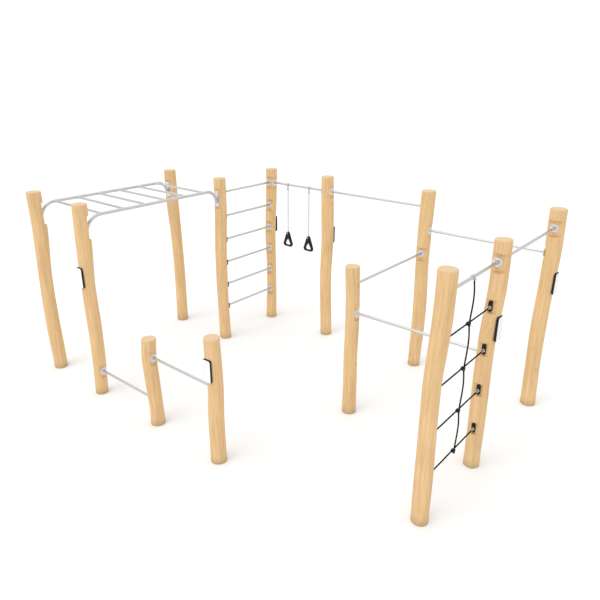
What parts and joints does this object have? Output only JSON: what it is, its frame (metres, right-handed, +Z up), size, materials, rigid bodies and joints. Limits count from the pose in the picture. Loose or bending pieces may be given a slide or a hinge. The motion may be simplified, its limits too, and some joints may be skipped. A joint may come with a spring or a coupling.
{
  "type": "monkey bars",
  "caption": "Timber post workout combination with overhead ladder, wall ladder, pull-up and step bars, swinging handles and a rope climbing net.",
  "frame": {"origin": "middle of the post grid, on the ground", "axes": "+X from the overhead ladder to the net, +Y from the step bars to the wall ladder, +Z up"},
  "size_m": [6.123, 3.8652, 2.72],
  "materials": {
    "robinia": "debarked, sanded and oiled",
    "stainless_bars": "satin",
    "fittings": "satin",
    "chain_steel": "galvanised",
    "black_plastic": "moulded, fine grain",
    "sign_board": "white face on a black board",
    "net_rope": "braided over a steel core"
  },
  "bodies": {
    "root": {"post_corner": "robinia", "post_ladder_end_inner": "robinia", "post_ladder_end_outer": "robinia", "post_ladder_start_inner": "robinia", "post_ladder_start_outer": "robinia", "post_middle": "robinia", "post_net_inner": "robinia", "post_net_outer": "robinia", "post_pull_up": "robinia", "post_step_high": "robinia", "post_step_low": "robinia", "post_trapeze": "robinia", "post_wall_ladder": "robinia", "overhead_rail_outer": "stainless_bars", "overhead_rail_inner": "stainless_bars", "overhead_rung_1": "stainless_bars", "overhead_rung_2": "stainless_bars", "overhead_rung_3": "stainless_bars", "overhead_rung_4": "stainless_bars", "overhead_rung_5": "stainless_bars", "overhead_rung_6": "stainless_bars", "wall_rung_1": "stainless_bars", "wall_rung_2": "stainless_bars", "wall_rung_3": "stainless_bars", "wall_rung_4": "stainless_bars", "wall_rung_5": "stainless_bars", "wall_rung_6": "stainless_bars", "bar_trapeze": "stainless_bars", "bar_pull_up": "stainless_bars", "bar_wide": "stainless_bars", "bar_corner": "stainless_bars", "bar_net": "stainless_bars", "bar_press": "stainless_bars", "bar_row": "stainless_bars", "bar_step_high": "stainless_bars", "bar_step_low": "stainless_bars", "sign_ladder": "sign_board", "sign_step": "sign_board", "sign_wall_ladder": "sign_board", "sign_trapeze": "sign_board", "sign_net": "sign_board", "sign_corner": "sign_board", "net_rope_1": "net_rope", "net_rope_2": "net_rope", "net_rope_3": "net_rope", "net_rope_4": "net_rope", "net_rope_upright": "net_rope", "net_top_clamp": "fittings", "net_clamp_1": "black_plastic", "net_clamp_2": "black_plastic", "net_clamp_3": "black_plastic", "net_clamp_4": "black_plastic", "hanger_clamp_1": "fittings", "hanger_clamp_2": "fittings"},
    "yoke_1": {"hanger_yoke_1": "fittings"},
    "chain_1": {"chain_1": "chain_steel"},
    "handle_1": {"handle_1": "black_plastic"},
    "yoke_2": {"hanger_yoke_2": "fittings"},
    "chain_2": {"chain_2": "chain_steel"},
    "handle_2": {"handle_2": "black_plastic"}
  },
  "joints": [
    {"name": "swing_1", "type": "hinge", "parent": "root", "child": "yoke_1", "pos_m": [-1.365, 1.8, 2.428], "axis": [1, 0, 0], "range_deg": [-70, 70]},
    {"name": "sway_1", "type": "hinge", "parent": "yoke_1", "child": "chain_1", "pos_m": [-1.365, 1.8, 2.382], "axis": [0, 1, 0], "range_deg": [-6, 6]},
    {"name": "tilt_1", "type": "hinge", "parent": "chain_1", "child": "handle_1", "pos_m": [-1.365, 1.8, 1.647], "axis": [0, 1, 0], "range_deg": [-25, 25]},
    {"name": "swing_2", "type": "hinge", "parent": "root", "child": "yoke_2", "pos_m": [-0.915, 1.8, 2.428], "axis": [1, 0, 0], "range_deg": [-70, 70]},
    {"name": "sway_2", "type": "hinge", "parent": "yoke_2", "child": "chain_2", "pos_m": [-0.915, 1.8, 2.382], "axis": [0, 1, 0], "range_deg": [-6, 6]},
    {"name": "tilt_2", "type": "hinge", "parent": "chain_2", "child": "handle_2", "pos_m": [-0.915, 1.8, 1.647], "axis": [0, 1, 0], "range_deg": [-25, 25]}
  ]
}
